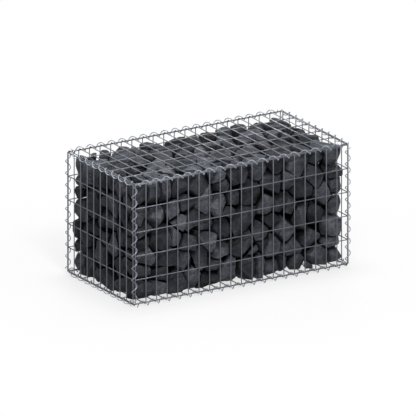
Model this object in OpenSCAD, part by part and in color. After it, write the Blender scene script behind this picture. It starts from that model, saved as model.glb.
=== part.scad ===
// A gabion basket filled with broken stone.
// Six welded mesh panels make the box, and twelve spiral binders lace them together
// along its edges. X runs along the length, Y from front to back and Z up.
// The origin is on the ground, under the middle of the basket.

/* [Basket] */
// Length between the wires at the two ends
length = 1000; // [400:50:2000]
// Depth between the wires at front and back
depth = 500; // [300:50:1000]
// Height between the wires at top and bottom
height = 500; // [300:50:1000]

/* [Mesh] */
// Spacing of the close wires, which lie outside
close_spacing = 50; // [40:5:70]
// Spacing of the wide wires, which are welded inside them
wide_spacing = 100; // [75:5:150]
// Diameter of the mesh wire
wire_d = 4; // [3:0.2:5]
// How deep two wires sink into each other at a weld
weld_bite = 0.4; // [0.2:0.1:0.8]
// Gap between the edge wires of two panels that meet
edge_gap = 0.4; // [0.3:0.1:2]
// Gap past a wire's end, where two panels meet
tip_gap = 0.4; // [0.2:0.1:1]

/* [Spirals] */
// Diameter of the spirals' wire
spiral_wire_d = 3.8; // [3:0.2:4.6]
// Radius of the spirals' centre line
spiral_r = 10; // [9.4:0.2:13]
// Gap between a spiral and the edge wire that it bears on
seat_gap = 0.3; // [0.1:0.1:0.6]
// Distance from a corner of the basket to the spirals' ends
spiral_trim = 6; // [5:1:20]

/* [Stone fill] */
// Gap between the stone and the innermost turns of the spirals
fill_gap = 1; // [0.5:0.5:20]
// Drop from the wires of the top edges to the top of the stone
fill_drop = 10; // [5:1:40]

/* [Hidden] */
COURSE_COUNT = 5;
WIRE_SIDES = 8;
RING_SIDES = 5;
RINGS_PER_TURN = 12;

// The wide wires lie just far enough out for the edge wires of two panels to pass,
// and the close wires lie on them.
wide_out = (wire_d + edge_gap) / sqrt(2);
close_out = wide_out + wire_d - weld_bite;
// The close wires end flush with the edge wires, and the wide ones clear of the next panel.
close_past = wire_d / 2;
wide_past = wide_out - wire_d / 2 - tip_gap;
wire_corner_r = wire_d / 2 / cos(180 / WIRE_SIDES);

// A spiral's inner reach, and the distance from its axis to the edge wire that it bears on
spiral_inner_r = spiral_r * cos(180 / RINGS_PER_TURN)
    - spiral_wire_d / 2 * cos(180 / RING_SIDES);
spiral_outer_r = spiral_r + spiral_wire_d / 2;
seat_distance = spiral_inner_r - wire_corner_r - seat_gap;

function unit(v) = v / norm(v);
// Where a spiral's axis lies when it is drawn away from the edge wire that it bears on
function seat(edge_wire, drawn) = edge_wire + seat_distance * unit(drawn);

// Axes as distances outside the basket's faces: [out sideways, out up or down] along the level
// edges, where the base or lid brings the edge wire, and [out at the end, out at front or back]
// up the corners, where the end panel brings it. The fill draws the long ones straight out.
long_axis = seat([0, wide_out], [1, 0]);
short_axis = seat([0, close_out], [1, -1]);
corner_axis = seat([close_out, 0], [-1, 1]);

// Angle at which each spiral starts, so that its turns pass between the wires
front_bottom_start = 185;
front_top_start = 90;
back_bottom_start = 310;
back_top_start = 50;
left_bottom_start = 275;
left_top_start = 5;
right_bottom_start = 200;
right_top_start = 115;
front_left_start = 55;
front_right_start = 280;
back_left_start = 330;
back_right_start = 300;

// The lowest turns stand on the ground
floor_z = max(long_axis[1], short_axis[1]) + spiral_outer_r;
fill_bottom = floor_z - wide_out + wire_d / 2 + seat_gap;
fill_top = floor_z + height - fill_drop;
fill_inset = spiral_outer_r - min(long_axis[0], short_axis[0], corner_axis[0]) + fill_gap;
course_h = (fill_top - fill_bottom) / COURSE_COUNT;

// Even spacing nearest to the wanted one
function bays(span, spacing) = max(1, round(span / spacing));

// A wire along +Z from the origin, with flats facing outwards
module wire(span) {
    rotate([0, 0, 180 / WIRE_SIDES])
        cylinder(h = span, r = wire_corner_r, $fn = WIRE_SIDES);
}

// A mesh panel on the XZ plane with its outside facing -Y, standing on Z = 0
module panel(span, rise) {
    close_bays = bays(span, close_spacing);
    wide_bays = bays(rise, wide_spacing);
    color("slategray") {
        for (i = [0 : close_bays])
            translate([i * span / close_bays - span / 2, -close_out, -close_past])
                wire(rise + 2 * close_past);
        for (i = [0 : wide_bays])
            translate([-span / 2 - wide_past, -wide_out, i * rise / wide_bays])
                rotate([0, 90, 0])
                    wire(span + 2 * wide_past);
    }
}

// One ring of points around a spiral's centre line, at an angle about the axis
function spiral_ring(angle, start, step) =
    let (
        radial = [0, cos(angle), sin(angle)],
        centre = [step * (angle - start) / 360, 0, 0] + spiral_r * radial,
        along = unit([step / (2 * PI), -spiral_r * sin(angle), spiral_r * cos(angle)]),
        side = cross(along, radial)
    )
    [for (i = [0 : RING_SIDES - 1])
        centre + spiral_wire_d / 2
            * (radial * cos(i * 360 / RING_SIDES) + side * sin(i * 360 / RING_SIDES))];

// A right-handed spiral around +X from X = 0 to the span, at angle start where X is 0
module spiral(span, start) {
    step = span / bays(span, close_spacing);
    ring_angle = 360 / RINGS_PER_TURN;
    first = ceil((start + 360 * spiral_trim / step) / ring_angle);
    last = floor((start + 360 * (span - spiral_trim) / step) / ring_angle);
    points = [for (i = [first : last]) each spiral_ring(i * ring_angle, start, step)];
    sides = [for (i = [0 : last - first - 1], j = [0 : RING_SIDES - 1])
        let (here = i * RING_SIDES, next = here + RING_SIDES, k = (j + 1) % RING_SIDES)
        each [[here + j, here + k, next + k], [here + j, next + k, next + j]]];
    start_cap = [for (j = [RING_SIDES - 1 : -1 : 0]) j];
    end_cap = [for (j = [0 : RING_SIDES - 1]) (last - first) * RING_SIDES + j];
    color("gray")
        polyhedron(points, concat(sides, [start_cap, end_cap]));
}

// Spirals along the basket's edges. A side is -1 at the left or front and 1 at the right or back,
// and a level is -1 at the bottom and 1 at the top.
function level_z(level, axis) = floor_z + height * (1 + level) / 2 + level * axis[1];

module long_spiral(side, level, start) {
    translate([-length / 2, side * (depth / 2 + long_axis[0]), level_z(level, long_axis)])
        spiral(length, start);
}

module short_spiral(side, level, start) {
    translate([side * (length / 2 + short_axis[0]), -depth / 2, level_z(level, short_axis)])
        rotate([0, 0, 90])
            spiral(depth, start);
}

module corner_spiral(x_side, y_side, start) {
    translate([x_side * (length / 2 + corner_axis[0]),
        y_side * (depth / 2 + corner_axis[1]), floor_z])
        rotate([0, -90, 0])
            spiral(height, start);
}

module stone_course(number) {
    color("darkslategray")
        translate([0, 0, fill_bottom + (number - 0.5) * course_h])
            cube([length - 2 * fill_inset, depth - 2 * fill_inset, course_h], center = true);
}

module front_panel() {
    translate([0, -depth / 2, floor_z])
        panel(length, height);
}

module back_panel() {
    translate([0, depth / 2, floor_z])
        rotate([0, 0, 180])
            panel(length, height);
}

module left_panel() {
    translate([-length / 2, 0, floor_z])
        rotate([0, 0, -90])
            panel(depth, height);
}

module right_panel() {
    translate([length / 2, 0, floor_z])
        rotate([0, 0, 90])
            panel(depth, height);
}

module base_panel() {
    translate([0, depth / 2, floor_z])
        rotate([90, 0, 0])
            panel(length, depth);
}

module lid_panel() {
    translate([0, -depth / 2, floor_z + height])
        rotate([-90, 0, 0])
            panel(length, depth);
}

module spiral_front_bottom() { long_spiral(-1, -1, front_bottom_start); }
module spiral_front_top() { long_spiral(-1, 1, front_top_start); }
module spiral_back_bottom() { long_spiral(1, -1, back_bottom_start); }
module spiral_back_top() { long_spiral(1, 1, back_top_start); }
module spiral_left_bottom() { short_spiral(-1, -1, left_bottom_start); }
module spiral_left_top() { short_spiral(-1, 1, left_top_start); }
module spiral_right_bottom() { short_spiral(1, -1, right_bottom_start); }
module spiral_right_top() { short_spiral(1, 1, right_top_start); }
module spiral_front_left() { corner_spiral(-1, -1, front_left_start); }
module spiral_front_right() { corner_spiral(1, -1, front_right_start); }
module spiral_back_left() { corner_spiral(-1, 1, back_left_start); }
module spiral_back_right() { corner_spiral(1, 1, back_right_start); }

front_panel();
back_panel();
left_panel();
right_panel();
base_panel();
lid_panel();
spiral_front_bottom();
spiral_front_top();
spiral_back_bottom();
spiral_back_top();
spiral_left_bottom();
spiral_left_top();
spiral_right_bottom();
spiral_right_top();
spiral_front_left();
spiral_front_right();
spiral_back_left();
spiral_back_right();
stone_course(1);  // stone_course_1
stone_course(2);  // stone_course_2
stone_course(3);  // stone_course_3
stone_course(4);  // stone_course_4
stone_course(5);  // stone_course_5
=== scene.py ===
"""A gabion basket: six welded mesh panels laced by twelve spirals, filled with broken stone."""

import math

import bmesh
import bpy
import numpy as np
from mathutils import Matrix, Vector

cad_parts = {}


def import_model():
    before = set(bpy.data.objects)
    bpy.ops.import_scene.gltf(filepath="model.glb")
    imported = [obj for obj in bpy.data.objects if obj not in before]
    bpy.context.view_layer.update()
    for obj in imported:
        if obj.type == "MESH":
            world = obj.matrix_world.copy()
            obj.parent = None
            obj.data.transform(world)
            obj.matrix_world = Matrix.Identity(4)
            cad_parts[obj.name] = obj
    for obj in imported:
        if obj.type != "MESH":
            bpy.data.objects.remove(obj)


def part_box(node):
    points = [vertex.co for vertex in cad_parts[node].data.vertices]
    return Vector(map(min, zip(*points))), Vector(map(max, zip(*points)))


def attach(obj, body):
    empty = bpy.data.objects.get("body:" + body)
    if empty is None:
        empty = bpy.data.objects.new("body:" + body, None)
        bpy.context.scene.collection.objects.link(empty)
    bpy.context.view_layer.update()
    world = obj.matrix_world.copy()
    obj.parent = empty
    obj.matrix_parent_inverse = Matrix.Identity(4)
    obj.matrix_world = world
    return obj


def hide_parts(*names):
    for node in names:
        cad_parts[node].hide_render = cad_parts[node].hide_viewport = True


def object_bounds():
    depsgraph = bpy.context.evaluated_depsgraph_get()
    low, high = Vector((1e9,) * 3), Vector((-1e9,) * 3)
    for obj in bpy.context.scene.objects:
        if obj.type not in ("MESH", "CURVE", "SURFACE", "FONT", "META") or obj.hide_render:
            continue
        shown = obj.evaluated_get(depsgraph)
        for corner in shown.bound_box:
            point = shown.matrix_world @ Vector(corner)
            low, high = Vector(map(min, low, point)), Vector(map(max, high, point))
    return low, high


# Sizes are in metres and angles in degrees. These repeat values of the CAD model.
WIRE_R = 0.002
CLOSE_SPACING = 0.050
WIDE_SPACING = 0.100
# How far the wide wires run past the middle of the last close wire.
WIDE_PAST = 0.0007
SPIRAL_WIRE_R = 0.0019
# Angle at which each spiral starts.
SPIRAL_STARTS = {
    "front_bottom": 185, "front_top": 90, "back_bottom": 310, "back_top": 50,
    "left_bottom": 275, "left_top": 5, "right_bottom": 200, "right_top": 115,
    "front_left": 55, "front_right": 280, "back_left": 330, "back_right": 300,
}
X, Y, Z = range(3)
# Each panel: the axis that its wide wires run along, the axis that its close wires run along,
# the axis that it faces and the sign of that facing.
PANELS = {
    "front": (X, Z, Y, -1), "back": (X, Z, Y, 1), "left": (Y, Z, X, -1),
    "right": (Y, Z, X, 1), "base": (X, Y, Z, -1), "lid": (X, Y, Z, 1),
}
COURSES = 5

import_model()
cad_low, cad_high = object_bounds()


# ---------------------------------------------------------------- meshes

TINY = 1e-9
TURN = 2 * math.pi


class Build:
    """Collects vertices and faces of many small solids into one mesh."""

    def __init__(self):
        self.points = []
        self.faces = []
        self.count = 0

    def add(self, points, faces):
        """Adds one solid, whose faces number its own points from 0."""
        self.points.append(np.asarray(points, float))
        self.faces.extend([[i + self.count for i in face] for face in faces])
        self.count += len(points)

    def piece(self, name, slot, material, replaced):
        """A smooth-shaded object of the mesh, which takes the place of those CAD nodes."""
        mesh = bpy.data.meshes.new(name)
        mesh.from_pydata(np.concatenate(self.points).tolist(), [], self.faces)
        mesh.validate()
        mesh.polygons.foreach_set("use_smooth", [True] * len(mesh.polygons))
        mesh.materials.append(material)
        thing = bpy.data.objects.new(name, mesh)
        bpy.context.scene.collection.objects.link(thing)
        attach(thing, "root")
        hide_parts(*replaced)
        return thing


def unit(vectors):
    """Vectors of length one with the same directions."""
    return vectors / np.linalg.norm(vectors, axis=-1, keepdims=True)


def sweep(rings):
    """Faces of a closed tube through rings of points, all of one length, with flat end caps."""
    sides = len(rings[0])
    faces = [list(range(sides))[::-1]]
    for i in range(len(rings) - 1):
        here, there = i * sides, (i + 1) * sides
        for j in range(sides):
            k = (j + 1) % sides
            faces.append([here + j, here + k, there + k, there + j])
    last = (len(rings) - 1) * sides
    faces.append([last + j for j in range(sides)])
    return np.concatenate(rings), faces


def geodesic(frequency):
    """Unit directions and triangles of an icosahedron with each edge cut into that many."""
    golden = (1 + math.sqrt(5)) / 2
    corners = [
        (-1, golden, 0), (1, golden, 0), (-1, -golden, 0), (1, -golden, 0),
        (0, -1, golden), (0, 1, golden), (0, -1, -golden), (0, 1, -golden),
        (golden, 0, -1), (golden, 0, 1), (-golden, 0, -1), (-golden, 0, 1),
    ]
    sides = [
        (0, 11, 5), (0, 5, 1), (0, 1, 7), (0, 7, 10), (0, 10, 11),
        (1, 5, 9), (5, 11, 4), (11, 10, 2), (10, 7, 6), (7, 1, 8),
        (3, 9, 4), (3, 4, 2), (3, 2, 6), (3, 6, 8), (3, 8, 9),
        (4, 9, 5), (2, 4, 11), (6, 2, 10), (8, 6, 7), (9, 8, 1),
    ]
    found, points, faces = {}, [], []
    digits = 6

    def index(point):
        """The number of that point, which neighbouring sides share."""
        key = tuple(np.round(point, digits))
        if key not in found:
            found[key] = len(points)
            points.append(point)
        return found[key]

    for a, b, c in sides:
        a, b, c = (np.array(corners[i], float) for i in (a, b, c))
        grid = {}
        for i in range(frequency + 1):
            for j in range(frequency + 1 - i):
                point = a + (b - a) * i / frequency + (c - a) * j / frequency
                grid[i, j] = index(point / np.linalg.norm(point))
        for i in range(frequency):
            for j in range(frequency - i):
                faces.append([grid[i, j], grid[i + 1, j], grid[i, j + 1]])
                if i + j < frequency - 1:
                    faces.append([grid[i + 1, j], grid[i + 1, j + 1], grid[i, j + 1]])
    return np.array(points), faces


# ---------------------------------------------------------------- wire mesh

WIRE_SIDES = 12
END_CHAMFER = 0.0004
# Half sizes of the metal squeezed out at a weld, along the wide wire, the close wire and the
# facing, and how much they vary.
NUGGET = (0.0029, 0.0029, 0.0015)
NUGGET_SPREAD = (0.8, 1.1)
NUGGET_SEED = 5
# Each edge of a nugget's icosahedron is cut into that many.
NUGGET_CUTS = 2


def wire(build, start, end):
    """A round wire between two points, with its sheared ends slightly broken."""
    along = (end - start) / np.linalg.norm(end - start)
    side = np.roll(along, 1)
    other = np.cross(along, side)
    angles = np.linspace(0, TURN, WIRE_SIDES, endpoint=False)
    circle = np.outer(np.cos(angles), side) + np.outer(np.sin(angles), other)
    stations = [
        (start, WIRE_R - END_CHAMFER), (start + along * END_CHAMFER, WIRE_R),
        (end - along * END_CHAMFER, WIRE_R), (end, WIRE_R - END_CHAMFER),
    ]
    build.add(*sweep([centre + circle * radius for centre, radius in stations]))


def mesh_panel(name, wide_axis, close_axis, facing, sign, rng, material):
    """A mesh panel in its CAD node's box: outer close wires welded to inner wide ones."""
    low, high = (np.array(corner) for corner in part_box(name + "_panel"))
    outer = (high if sign > 0 else low)[facing] - sign * WIRE_R
    inner = (low if sign > 0 else high)[facing] + sign * WIRE_R
    build = Build()

    def point(wide, close, out):
        """A point from its places along the panel's own axes."""
        made = np.zeros(3)
        made[wide_axis], made[close_axis], made[facing] = wide, close, out
        return made

    def stations(axis, spacing):
        """Even places of the wires along an axis, as near as can be to that spacing."""
        first, last = low[axis] + WIRE_R, high[axis] - WIRE_R
        return np.linspace(first, last, round((last - first) / spacing) + 1)

    columns, rows = stations(wide_axis, CLOSE_SPACING), stations(close_axis, WIDE_SPACING)
    for column in columns:
        wire(build, point(column, low[close_axis], outer), point(column, high[close_axis], outer))
    for row in rows:
        wire(build, point(columns[0] - WIDE_PAST, row, inner),
             point(columns[-1] + WIDE_PAST, row, inner))
    ball, triangles = geodesic(NUGGET_CUTS)
    for column in columns:
        for row in rows:
            size = np.array(NUGGET) * rng.uniform(*NUGGET_SPREAD, 3)
            nugget = np.zeros_like(ball)
            for part, axis in enumerate((wide_axis, close_axis, facing)):
                nugget[:, axis] = ball[:, part] * size[part]
            build.add(point(column, row, (outer + inner) / 2) + nugget, triangles)
    return build.piece(name + "_mesh", "mesh_wire", material, [name + "_panel"])


# ---------------------------------------------------------------- spirals

# Sides around the wire, and steps to a turn.
SPIRAL_SIDES = 8
SPIRAL_STEPS = 32
# How a coil around +X is turned to lie along X, Y or Z.
COIL_BASES = (
    np.eye(3),
    np.array([[0, 1, 0], [-1, 0, 0], [0, 0, 1]]),
    np.array([[0, 0, 1], [0, 1, 0], [-1, 0, 0]]),
)


def coil(radius, step, start, angles):
    """Rings of points along a right-handed coil of wire around +X, with X = 0 at its start."""
    around = np.linspace(0, TURN, SPIRAL_SIDES, endpoint=False)
    rings = []
    for angle in angles:
        radial = np.array([0, math.cos(angle), math.sin(angle)])
        forward = np.array([step / TURN, -radius * radial[2], radius * radial[1]])
        side = np.cross(forward / np.linalg.norm(forward), radial)
        place = np.array([(angle - start) * step / TURN, 0, 0])
        rings.append(place + radius * radial + SPIRAL_WIRE_R * (
            np.outer(np.cos(around), radial) + np.outer(np.sin(around), side)))
    return rings


def spiral(name, start, material):
    """A right-handed spiral of round wire, laid on the axis of its CAD node."""
    low, high = (np.array(corner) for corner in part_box("spiral_" + name))
    along = int(np.argmax(high - low))
    across = X if along != X else Y
    radius = (high - low)[across] / 2 - SPIRAL_WIRE_R
    panel_low, panel_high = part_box("front_panel" if along != 1 else "left_panel")
    corner = panel_low[along] + WIRE_R
    span = panel_high[along] - WIRE_R - corner
    step = span / round(span / CLOSE_SPACING)
    first, last = (low[along] - corner) / step, (high[along] - corner) / step
    turns = np.linspace(first, last, int((last - first) * SPIRAL_STEPS) + 1)
    start = math.radians(start)
    rings = coil(radius, step, start, start + TURN * turns)
    offset = (low + high) / 2
    offset[along] = corner
    build = Build()
    points, faces = sweep([ring @ COIL_BASES[along] for ring in rings])
    build.add(points + offset, faces)
    return build.piece("binder_" + name, "spiral_wire", material, ["spiral_" + name])


# ---------------------------------------------------------------- how the stones lie

STONE_SEED = 8
STONE_COUNT = 450
# Chinks are the small stones between the others.
CHINK_SHARE = 0.14
STONE_HALF = (0.054, 0.084)
CHINK_HALF = (0.022, 0.034)
# A stone's two shorter half lengths, as shares of its longest.
FLATTENING = ((0.68, 0.96), (0.5, 0.82))
# Stones further apart than that never touch.
REACH = 0.165
# Stones that overlap are pushed apart by that share of the overlap, over and over.
PUSH = 0.42
PUSH_ROUNDS = 420
ROUNDS_PER_SEARCH = 10
# How much of its reach a stone keeps from the left, front and base, and from the right,
# back and lid.
WALL_SHARES = ((0.58, 0.68, 0.60), (0.58, 0.58, 0.54))
WALL_EXTRA = 0.008


def half_axes(rng):
    """Half lengths of each stone along its own axes: mostly large stones, with some chinks."""
    chink = rng.random(STONE_COUNT) < CHINK_SHARE
    longest = np.where(chink, rng.uniform(*CHINK_HALF, STONE_COUNT),
                       rng.uniform(*STONE_HALF, STONE_COUNT))
    shares = [np.ones(STONE_COUNT)] + [rng.uniform(*share, STONE_COUNT) for share in FLATTENING]
    return longest[:, None] * np.stack(shares, axis=1)


def rotations(rng):
    """A random rotation for each stone."""
    made = np.array([np.linalg.qr(rng.normal(size=(3, 3)))[0] for _ in range(STONE_COUNT)])
    return made * np.sign(np.linalg.det(made))[:, None, None]


def support(forms, directions):
    """How far each ellipsoid reaches in its direction."""
    return np.sqrt(np.einsum("ni,nij,nj->n", directions, forms, directions))


def neighbours(centres):
    """Each pair of stones near enough to touch, as two lists of their numbers."""
    apart = np.linalg.norm(centres[:, None] - centres[None, :], axis=2)
    return np.where(np.triu(apart < REACH, 1))


def settle(low, high, forms, rng):
    """Centres of the stones, pushed apart until they fill the box evenly."""
    centres = rng.uniform(low, high, (STONE_COUNT, 3))
    reach = np.sqrt(np.stack([forms[:, i, i] for i in range(3)], axis=1))
    lowest, highest = (reach * share + rng.uniform(0, WALL_EXTRA, (STONE_COUNT, 1))
                       for share in WALL_SHARES)
    weight = 1 / np.cbrt(np.linalg.det(forms))
    for step in range(PUSH_ROUNDS):
        if step % ROUNDS_PER_SEARCH == 0:
            one, two = neighbours(centres)
        apart = centres[two] - centres[one]
        distance = np.linalg.norm(apart, axis=1) + TINY
        direction = apart / distance[:, None]
        overlap = support(forms[one], direction) + support(forms[two], direction) - distance
        push = PUSH * np.clip(overlap, 0, None)[:, None] * direction
        share = (weight[one] / (weight[one] + weight[two]))[:, None]
        np.add.at(centres, one, -push * share)
        np.add.at(centres, two, push * (1 - share))
        centres = np.clip(centres, low + lowest, high - highest)
    return centres


# ---------------------------------------------------------------- planes that cut each stone

# Fracture facets and smaller chips, and how far out each lies as a share of the stone's reach.
FACETS = 5
FACET_REACH = (0.62, 0.94)
CHIPS = 3
CHIP_REACH = (0.96, 1.08)
# No plane lies nearer to a stone's centre than that.
LEAST_REACH = 0.004
# Facets are spread evenly, as points that push each other apart on a ball.
SPREAD_ROUNDS = 5
SPREAD_PUSH = 0.04
SPREAD_NEAREST = 1e-3
# Tilted facets for each wall of the fill, how much they tilt and how far short they stop.
WALL_FACETS = 2
WALL_TILT = 0.42
WALL_INSET = (0, 0.007)
# Stones part where they are nearer than that many times their reach.
CONTACT_NEAR = 1.45
CONTACT_TILT = 0.24
# Half the gap between two stones.
CONTACT_GAP = (0.0018, 0.0060)


def spread(count, rng):
    """Directions that point evenly apart."""
    made = unit(rng.normal(size=(count, 3)))
    for _ in range(SPREAD_ROUNDS):
        gaps = made[:, None] - made[None, :]
        lengths = np.linalg.norm(gaps, axis=2) + SPREAD_NEAREST
        made = unit(made + SPREAD_PUSH * (gaps / lengths[:, :, None] ** 3).sum(1))
    return made


def contact_planes(centres, forms, rng):
    """For each stone, the planes that part it from its neighbours: outward normals and limits."""
    planes = [([], []) for _ in range(STONE_COUNT)]
    inverses = np.linalg.inv(forms)
    one, two = neighbours(centres)
    apart = centres[two] - centres[one]
    distance = np.linalg.norm(apart, axis=1)
    direction = apart / distance[:, None]
    reach_one, reach_two = support(forms[one], direction), support(forms[two], direction)
    facing = unit(np.einsum("nij,nj->ni", inverses[one], direction))
    facing += unit(np.einsum("nij,nj->ni", inverses[two], direction))
    facing = unit(facing + rng.normal(0, CONTACT_TILT, facing.shape))
    for k in np.where(distance < CONTACT_NEAR * (reach_one + reach_two))[0]:
        lean = facing[k] @ direction[k]
        split = distance[k] * reach_one[k] / (reach_one[k] + reach_two[k])
        gap = rng.uniform(*CONTACT_GAP)
        for stone, normal, limit in ((one[k], facing[k], split * lean),
                                     (two[k], -facing[k], (distance[k] - split) * lean)):
            planes[stone][0].append(normal)
            planes[stone][1].append(max(limit - gap, LEAST_REACH))
    return planes


def fracture_planes(form, rng):
    """Planes of a stone's own facets and chips: outward normals and limits."""
    normals = np.concatenate([spread(FACETS, rng), unit(rng.normal(size=(CHIPS, 3)))])
    shares = np.concatenate([rng.uniform(*FACET_REACH, FACETS), rng.uniform(*CHIP_REACH, CHIPS)])
    forms = np.repeat(form[None], len(normals), axis=0)
    return normals, support(forms, normals) * shares


def wall_planes(centre, low, high, rng):
    """Planes that keep a stone in the fill: its six walls, and facets tilted against them."""
    walls = np.concatenate([np.eye(3), -np.eye(3)])
    rooms = np.concatenate([high - centre, centre - low])
    tilted = np.tile(walls, (WALL_FACETS, 1))
    tilted = unit(tilted + rng.normal(0, WALL_TILT, tilted.shape))
    short = np.tile(rooms, WALL_FACETS) - rng.uniform(*WALL_INSET, len(tilted))
    limits = np.concatenate([rooms, np.maximum(short, LEAST_REACH)])
    return np.concatenate([walls, tilted]), limits


# ---------------------------------------------------------------- a stone's surface

# How far a facet is drawn in at its edges, how much that varies in one stone, and the most of
# the way to its middle.
WORN_EDGE = (0.0008, 0.0022)
WORN_SPREAD = (0.7, 1.7)
WORN_MOST = 0.45
# Longest triangle edge of a stone whose centre is less than that deep in the fill.
DETAIL = ((0.062, 0.014), (0.115, 0.024), (1.0, 0.060))
SPLITS = 5
# Waves in all directions ripple the surface: their lengths, and their height for each length.
WAVES = 26
WAVE_LENGTHS = (0.022, 0.070)
WAVE_HEIGHT = 0.0065


def hull(points):
    """Outward triangles of the convex hull of some points around the origin."""
    mesh = bmesh.new()
    for point in points:
        mesh.verts.new(point)
    mesh.verts.index_update()
    bmesh.ops.convex_hull(mesh, input=mesh.verts)
    found = np.array([[v.index for v in face.verts[:3]] for face in mesh.faces])
    mesh.free()
    a, b, c = (points[found[:, i]] for i in range(3))
    inside_out = np.einsum("ni,ni->n", np.cross(b - a, c - a), a + b + c) < 0
    found[inside_out] = found[inside_out][:, ::-1]
    return found


def broken_block(normals, limits, rng):
    """Corners of the solid inside those planes, with each facet drawn in to leave worn edges."""
    trios = hull(normals / limits[:, None])
    corners = np.linalg.solve(normals[trios], limits[trios][:, :, None])[:, :, 0]
    edge = rng.uniform(*WORN_EDGE)
    kept = []
    for facet in np.unique(trios):
        ring = corners[(trios == facet).any(axis=1)]
        inward = ring.mean(axis=0) - ring
        length = np.linalg.norm(inward, axis=1, keepdims=True) + TINY
        share = np.minimum(WORN_MOST, edge * rng.uniform(*WORN_SPREAD) / length)
        kept.append(ring + inward * share)
    return np.concatenate(kept)


def halves(faces, middles):
    """Splits triangles at the middles of some of their edges, where a middle isn't negative."""
    made = [faces[(middles < 0).all(axis=1)]]
    a, b, c = faces.T
    ab, bc, ca = middles.T
    every = (middles >= 0).all(axis=1)
    for trio in ((a, ab, ca), (ab, b, bc), (ca, bc, c), (ab, bc, ca)):
        made.append(np.stack(trio, axis=1)[every])
    for turn in range(3):
        a, b, c = np.roll(faces, turn, axis=1).T
        ab, bc, ca = np.roll(middles, turn, axis=1).T
        one = (ab >= 0) & (bc < 0) & (ca < 0)
        two = (ab >= 0) & (bc >= 0) & (ca < 0)
        for trio, chosen in (((a, ab, c), one), ((ab, b, c), one), ((ab, b, bc), two),
                             ((a, ab, bc), two), ((a, bc, c), two)):
            made.append(np.stack(trio, axis=1)[chosen])
    return np.concatenate(made)


def refine(points, faces, longest):
    """Splits triangles until hardly an edge is longer than that."""
    used, faces = np.unique(faces, return_inverse=True)
    points, faces = points[used], faces.reshape(-1, 3)
    for _ in range(SPLITS):
        edges = np.sort(faces[:, [[0, 1], [1, 2], [2, 0]]].reshape(-1, 2), axis=1)
        unique, where = np.unique(edges, axis=0, return_inverse=True)
        ends = points[unique]
        long = np.linalg.norm(ends[:, 0] - ends[:, 1], axis=1) > longest
        if not long.any():
            break
        middles = np.full(len(unique), -1)
        middles[long] = len(points) + np.arange(long.sum())
        points = np.concatenate([points, ends[long].mean(axis=1)])
        faces = halves(faces, middles[where.reshape(-1, 3)])
    return points, faces


def area_normals(points, faces):
    """Normals of the vertices, in which a large triangle counts for more than a small one."""
    a, b, c = (points[faces[:, i]] for i in range(3))
    across = np.cross(b - a, c - a)
    normals = np.zeros_like(points)
    for i in range(3):
        np.add.at(normals, faces[:, i], across)
    return unit(normals)


class Ripple:
    """Waves that run through the whole fill and stir every stone's surface."""

    def __init__(self, rng):
        lengths = rng.uniform(*WAVE_LENGTHS, WAVES)
        self.waves = unit(rng.normal(size=(WAVES, 3))) * (TURN / lengths)[:, None]
        self.phases = rng.uniform(0, TURN, WAVES)
        self.heights = WAVE_HEIGHT * lengths

    def __call__(self, points):
        """How far the surface moves outwards at each point."""
        return (np.sin(points @ self.waves.T + self.phases) * self.heights).sum(1)


# ---------------------------------------------------------------- the fill

# The material's depth value runs from 0 at the fill's walls to 1 at that distance inside.
# The stone material paints shade with it: stones deeper in the fill are darker.
DEPTH_RANGE = 0.06


class Course(Build):
    """A course of stones, with the values that their material reads at each vertex."""

    def __init__(self):
        super().__init__()
        self.normals = []
        self.values = {"tone": [], "edge_nearness": [], "depth": []}

    def add_stone(self, points, faces, values):
        """Adds one stone, with its named values at each of its points."""
        self.add(points, faces)
        self.normals.append(area_normals(points, faces))
        for name, value in values.items():
            self.values[name].append(value)

    def piece(self, name, slot, material, replaced):
        """The object as above, with its values and its own normals."""
        thing = super().piece(name, slot, material, replaced)
        for value_name, value in self.values.items():
            stored = thing.data.attributes.new(value_name, "FLOAT", "POINT")
            stored.data.foreach_set("value", np.concatenate(value))
        normals = np.concatenate(self.normals)
        thing.data.normals_split_custom_set_from_vertices(normals.tolist())
        return thing


def stones(low, high, material):
    """All the stones between two corners of the fill, as one piece for each course."""
    rng = np.random.default_rng(STONE_SEED)
    axes, turned = half_axes(rng), rotations(rng)
    forms = np.einsum("nij,nj,nkj->nik", turned, axes ** 2, turned)
    centres = settle(low, high, forms, rng)
    contacts = contact_planes(centres, forms, rng)
    ripple = Ripple(rng)
    courses = [Course() for _ in range(COURSES)]
    tops = [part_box("stone_course_%d" % (i + 1))[1].z for i in range(COURSES)]
    for centre, form, contact in zip(centres, forms, contacts):
        cuts = (fracture_planes(form, rng), wall_planes(centre, low, high, rng), contact)
        normals = np.concatenate([np.reshape(facing, (-1, 3)) for facing, _ in cuts])
        limits = np.concatenate([limit for _, limit in cuts])
        block = broken_block(normals, limits, rng)
        depth = min((centre - low).min(), (high - centre).min())
        longest = next(length for limit, length in DETAIL if depth < limit)
        points, faces = refine(block, hull(block), longest)
        # The two outermost planes at a vertex: near 1 to 1 means that it lies on an edge.
        outermost = np.sort(points @ normals.T / limits, axis=1)
        points += centre
        points += area_normals(points, faces) * ripple(points)[:, None]
        points = np.clip(points, low, high)
        inside = np.minimum(points - low, high - points).min(axis=1)
        course = sum(centre[2] > top for top in tops[:-1])
        courses[course].add_stone(points, faces, {
            "tone": np.full(len(points), rng.random()),
            "edge_nearness": outermost[:, -2] / outermost[:, -1],
            # Painted shade: the material darkens stones by how deep in the fill they lie.
            "depth": np.clip(inside / DEPTH_RANGE, 0, 1),
        })
    for i, course in enumerate(courses):
        course.piece("stones_%d" % (i + 1), "broken_stone", material,
                     ["stone_course_%d" % (i + 1)])


# ---------------------------------------------------------------- shader nodes

GREEN_SHARE = 0.3
# Where a ramp's new stop appears, before it is put in its own place.
NEW_STOP = 0.5


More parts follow.
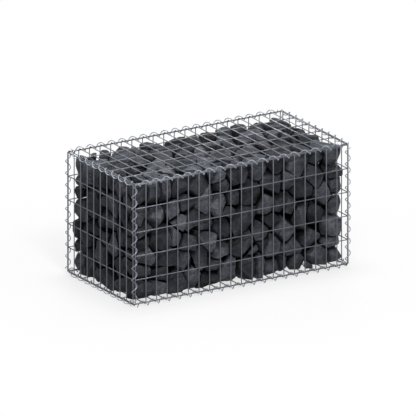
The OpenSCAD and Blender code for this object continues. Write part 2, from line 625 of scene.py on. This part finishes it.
def new_material(name, finish):
    """A material with those values on its shader, and its node tree and shader."""
    material = bpy.data.materials.new(name)
    material.use_nodes = True
    tree = material.node_tree
    shader = tree.nodes["Principled BSDF"]
    for socket, value in finish.items():
        shader.inputs[socket].default_value = value
    return material, tree, shader


def noise(tree, scale, detail, roughness):
    """The value of a noise texture in the object's own space."""
    node = tree.nodes.new("ShaderNodeTexNoise")
    node.inputs["Scale"].default_value = scale
    node.inputs["Detail"].default_value = detail
    node.inputs["Roughness"].default_value = roughness
    place = tree.nodes.get("Object place")
    if place is None:
        place = tree.nodes.new("ShaderNodeTexCoord")
        place.name = "Object place"
    tree.links.new(place.outputs["Object"], node.inputs["Vector"])
    return node.outputs["Fac"]


def attribute(tree, name):
    """A value that the mesh holds at each vertex."""
    node = tree.nodes.new("ShaderNodeAttribute")
    node.attribute_name = name
    return node.outputs["Fac"]


def grey(value, blue=1.0):
    """A grey, or a bluish one where blue is over 1, with some of that in its green."""
    return (value, value * (1 + GREEN_SHARE * (blue - 1)), value * blue)


def ramp(tree, source, stops):
    """A colour ramp from stops of place, level and blueness."""
    node = tree.nodes.new("ShaderNodeValToRGB")
    elements = node.color_ramp.elements
    while len(elements) < len(stops):
        elements.new(NEW_STOP)
    for element, (place, *colour) in zip(elements, stops):
        element.position = place
        element.color = (*grey(*colour), 1)
    tree.links.new(source, node.inputs["Fac"])
    return node.outputs["Color"]


def multiply(tree, first, second):
    """The product of two colours."""
    node = tree.nodes.new("ShaderNodeMix")
    node.data_type = "RGBA"
    node.blend_type = "MULTIPLY"
    node.clamp_result = False
    node.inputs["Factor"].default_value = 1.0
    tree.links.new(first, node.inputs["A"])
    tree.links.new(second, node.inputs["B"])
    return node.outputs["Result"]


def bump(tree, height, distance, strength, normal=None):
    """The surface's normal, raised by a height, on top of another normal if there is one."""
    node = tree.nodes.new("ShaderNodeBump")
    node.inputs["Strength"].default_value = strength
    node.inputs["Distance"].default_value = distance
    tree.links.new(height, node.inputs["Height"])
    if normal is not None:
        tree.links.new(normal, node.inputs["Normal"])
    return node.outputs["Normal"]


# ---------------------------------------------------------------- materials

# Noises: scale, detail and roughness. Stops: place, level and, where it isn't 1, blueness.
# Bumps: distance and strength.
STONE_PATCHES = (20, 5, 0.65)
STONE_TONES = ((0.36, 0.026, 1.30), (0.52, 0.046, 1.24), (0.70, 0.078, 1.16))
STONE_SHEEN = ((0.3, 0.8), (0.8, 0.62))
STONE_SPECKLE = (200, 3, 0.7)
SPECKLE_STOPS = ((0.32, 0.74), (0.55, 1.0), (0.70, 1.55))
# By a stone's own tone, lighter at its edges, and painted shade by how deep in the fill it lies.
SINGLE_STOPS = ((0.0, 0.5), (0.5, 1.08), (1.0, 2.15))
# Lighter at each stone's edges.
EDGE_LIGHTER_STOPS = ((0.0, 1.0), (0.95, 1.0), (1.0, 1.28))
# Painted shade: stones deeper in the fill are darker, as shade falls in the gaps.
DEPTH_SHADE_STOPS = ((0.14, 1.12), (0.4, 0.5), (0.7, 0.1))
STONE_CHIPPED = (70, 4, 0.6)
CHIPPED_BUMP = (0.009, 0.9)
STONE_GRAIN = (260, 5, 0.68)
GRAIN_BUMP = (0.0022, 0.9)
STONE_FINISH = {"Specular IOR Level": 0.1}

MESH_LEVEL = 0.15
# Painted highlight: the spiral's wire is painted lighter than the same galvanised wire of the
# mesh.
SPIRAL_HIGHLIGHT_LEVEL = 0.33
WIRE_MOTTLE = (180, 3, 0.55)
# Stops as above, with levels that are shares of the wire's own.
MOTTLE_STOPS = ((0.3, 0.8, 1.26), (0.7, 1.15, 1.24))
WIRE_GRAIN = (900, 3, 0.6)
WIRE_BUMP = (0.0002, 0.2)
WIRE_FINISH = {"Metallic": 0.35, "Roughness": 0.34}


def stone_material():
    """Dark basalt: mottled and speckled, lighter at its edges, darker with painted shade in the
    gaps.
    """
    material, tree, shader = new_material("broken_stone", STONE_FINISH)
    patches = noise(tree, *STONE_PATCHES)
    colour = ramp(tree, patches, STONE_TONES)
    for source, stops in ((attribute(tree, "tone"), SINGLE_STOPS),
                          (noise(tree, *STONE_SPECKLE), SPECKLE_STOPS),
                          (attribute(tree, "edge_nearness"), EDGE_LIGHTER_STOPS),
                          # Painted shade: darker deeper in the fill.
                          (attribute(tree, "depth"), DEPTH_SHADE_STOPS)):
        colour = multiply(tree, colour, ramp(tree, source, stops))
    tree.links.new(colour, shader.inputs["Base Color"])
    tree.links.new(ramp(tree, patches, STONE_SHEEN), shader.inputs["Roughness"])
    normal = bump(tree, noise(tree, *STONE_CHIPPED), *CHIPPED_BUMP)
    normal = bump(tree, noise(tree, *STONE_GRAIN), *GRAIN_BUMP, normal)
    tree.links.new(normal, shader.inputs["Normal"])
    return material


def wire_material(name, level):
    """Dull galvanised wire, slightly mottled and rough; the spiral's higher level is painted
    highlight.
    """
    material, tree, shader = new_material(name, WIRE_FINISH)
    stops = [(place, level * share, blue) for place, share, blue in MOTTLE_STOPS]
    colour = ramp(tree, noise(tree, *WIRE_MOTTLE), stops)
    tree.links.new(colour, shader.inputs["Base Color"])
    normal = bump(tree, noise(tree, *WIRE_GRAIN), *WIRE_BUMP)
    tree.links.new(normal, shader.inputs["Normal"])
    return material


# ---------------------------------------------------------------- studio

PLAIN_RAYS = ("Is Camera Ray", "Is Glossy Ray", "Is Transmission Ray")
FLOOR_SIZE = 60
FLOOR_FINISH = {"Base Color": (0.8, 0.8, 0.8, 1), "Roughness": 0.9, "Specular IOR Level": 0.0}
# Between those distances from the origin, plain white's share of the floor goes from the third
# value to the fourth.
FLOOR_FADE = {"From Min": 0.4, "From Max": 1.3, "To Min": 0.72, "To Max": 1.0}
WORLD_LEVEL = 0.065
# Each lamp: its place, the diameter of its disc and its power in watts.
LAMPS = {
    "key": (Vector((-1.15, -2.7, 3.2)), 0.8, 113),
    "top": (Vector((0.2, 0.3, 3.8)), 1.4, 80),
    "back": (Vector((2.2, 3.2, 1.7)), 1.4, 76),
}
# Where the camera stands: degrees round from the front, to the left where negative, and degrees
# above level.
CAMERA_AZIMUTH = -31.64
CAMERA_ELEVATION = 18.14
CAMERA_DISTANCE = 5
VIEW_WIDTH = 1.669
# How far right of and above the object's middle the camera aims.
AIM_RIGHT = 0.0005
AIM_UP = -0.001


def calculate(tree, operation, first, second):
    """The value of a math node on two sockets."""
    node = tree.nodes.new("ShaderNodeMath")
    node.operation = operation
    tree.links.new(first, node.inputs[0])
    tree.links.new(second, node.inputs[1])
    return node.outputs[0]


def seen_plainly(tree):
    """One for rays that show the white background, and zero for those that light the scene."""
    path = tree.nodes.new("ShaderNodeLightPath")
    first, *others = (path.outputs[name] for name in PLAIN_RAYS)
    for other in others:
        first = calculate(tree, "MAXIMUM", first, other)
    return first


def floor(level):
    """A pale floor that keeps the shadow and runs out into the white background."""
    bpy.ops.mesh.primitive_plane_add(size=FLOOR_SIZE, location=(0, 0, level))
    thing = bpy.context.object
    thing.name = "floor"
    material, tree, shader = new_material("studio_floor", FLOOR_FINISH)
    white = tree.nodes.new("ShaderNodeEmission")
    white.inputs["Strength"].default_value = 1
    place = tree.nodes.new("ShaderNodeTexCoord")
    away = tree.nodes.new("ShaderNodeVectorMath")
    away.operation = "LENGTH"
    tree.links.new(place.outputs["Object"], away.inputs[0])
    fade = tree.nodes.new("ShaderNodeMapRange")
    fade.interpolation_type = "SMOOTHSTEP"
    for socket, value in FLOOR_FADE.items():
        fade.inputs[socket].default_value = value
    tree.links.new(away.outputs["Value"], fade.inputs["Value"])
    share = calculate(tree, "MULTIPLY", seen_plainly(tree), fade.outputs["Result"])
    mix = tree.nodes.new("ShaderNodeMixShader")
    tree.links.new(share, mix.inputs["Fac"])
    tree.links.new(shader.outputs[0], mix.inputs[1])
    tree.links.new(white.outputs[0], mix.inputs[2])
    tree.links.new(mix.outputs[0], tree.nodes["Material Output"].inputs["Surface"])
    thing.data.materials.append(material)


def world(level):
    """A white background that lights the scene only at that level."""
    made = bpy.data.worlds.new("studio")
    bpy.context.scene.world = made
    made.use_nodes = True
    tree = made.node_tree
    back = tree.nodes["Background"]
    back.inputs["Color"].default_value = (1, 1, 1, 1)
    strength = tree.nodes.new("ShaderNodeMapRange")
    strength.inputs["To Min"].default_value = level
    strength.inputs["To Max"].default_value = 1
    tree.links.new(seen_plainly(tree), strength.inputs["Value"])
    tree.links.new(strength.outputs["Result"], back.inputs["Strength"])


def lamp(name, place, size, power, aim):
    """A round soft lamp that shines at a point."""
    data = bpy.data.lights.new(name, "AREA")
    data.shape = "DISK"
    data.size = size
    data.energy = power
    thing = bpy.data.objects.new(name, data)
    bpy.context.scene.collection.objects.link(thing)
    thing.location = place
    thing.rotation_mode = "QUATERNION"
    thing.rotation_quaternion = (aim - thing.location).to_track_quat("-Z", "Y")


def camera(centre):
    """The camera, without perspective, aimed near the object's middle."""
    azimuth, elevation = math.radians(CAMERA_AZIMUTH), math.radians(CAMERA_ELEVATION)
    back = Vector((math.sin(azimuth) * math.cos(elevation),
                      -math.cos(azimuth) * math.cos(elevation), math.sin(elevation)))
    right = Vector((math.cos(azimuth), math.sin(azimuth), 0))
    up = back.cross(right)
    data = bpy.data.cameras.new("camera")
    data.type = "ORTHO"
    data.ortho_scale = VIEW_WIDTH
    thing = bpy.data.objects.new("camera", data)
    bpy.context.scene.collection.objects.link(thing)
    thing.location = centre + right * AIM_RIGHT + up * AIM_UP + back * CAMERA_DISTANCE
    thing.rotation_mode = "QUATERNION"
    thing.rotation_quaternion = back.to_track_quat("Z", "Y")
    bpy.context.scene.camera = thing


# ---------------------------------------------------------------- the object and its studio

mesh_metal = wire_material("galvanised_mesh", MESH_LEVEL)
# Painted highlight: the spiral is painted lighter than the mesh.
highlit_spiral_metal = wire_material("galvanised_spiral_painted_highlight", SPIRAL_HIGHLIGHT_LEVEL)
nugget_rng = np.random.default_rng(NUGGET_SEED)
for name, (wide_axis, close_axis, facing, sign) in PANELS.items():
    mesh_panel(name, wide_axis, close_axis, facing, sign, nugget_rng, mesh_metal)
for name, start in SPIRAL_STARTS.items():
    spiral(name, start, highlit_spiral_metal)

fill_low = np.array(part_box("stone_course_1")[0])
fill_high = np.array(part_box("stone_course_%d" % COURSES)[1])
stones(fill_low, fill_high, stone_material())

centre = (cad_low + cad_high) / 2
floor(cad_low.z)
world(WORLD_LEVEL)
for name, (place, size, power) in LAMPS.items():
    lamp(name, place, size, power, centre)
camera(centre)
bpy.context.scene.view_settings.view_transform = "Standard"
